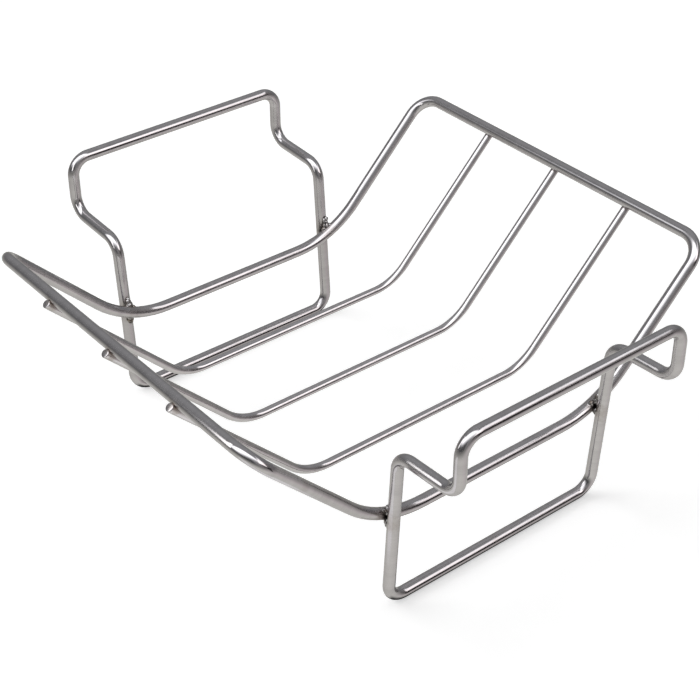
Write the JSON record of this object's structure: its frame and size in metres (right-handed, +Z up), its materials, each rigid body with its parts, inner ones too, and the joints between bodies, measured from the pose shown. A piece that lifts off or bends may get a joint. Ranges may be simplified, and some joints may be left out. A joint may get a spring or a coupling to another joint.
{
  "type": "roasting rack",
  "caption": "Open cradle of bent round steel wire with sloping ends, carried by two closed wire loops that serve as legs and raised side handles; holds a roast above a pan.",
  "frame": {"origin": "on the floor, under the middle of the cradle", "axes": "+X along the side rails towards one end bar, +Y from one handle to the other, +Z up"},
  "size_m": [0.3014, 0.3298, 0.1346],
  "materials": {
    "thick_wire": "polished drawn stainless steel wire",
    "thin_wire": "polished drawn stainless steel wire",
    "weld_metal": "electropolished weld bead, lumpy"
  },
  "bodies": {
    "root": {"cradle_frame": "thick_wire", "cradle_wire_front": "thin_wire", "cradle_wire_middle": "thin_wire", "cradle_wire_back": "thin_wire", "handle_leg_front": "thick_wire", "handle_leg_back": "thick_wire", "weld_above_rail_front_left": "weld_metal", "weld_above_rail_front_right": "weld_metal", "weld_above_rail_back_left": "weld_metal", "weld_above_rail_back_right": "weld_metal", "weld_below_rail_front_left": "weld_metal", "weld_below_rail_front_right": "weld_metal", "weld_below_rail_back_left": "weld_metal", "weld_below_rail_back_right": "weld_metal"}
  },
  "joints": []
}
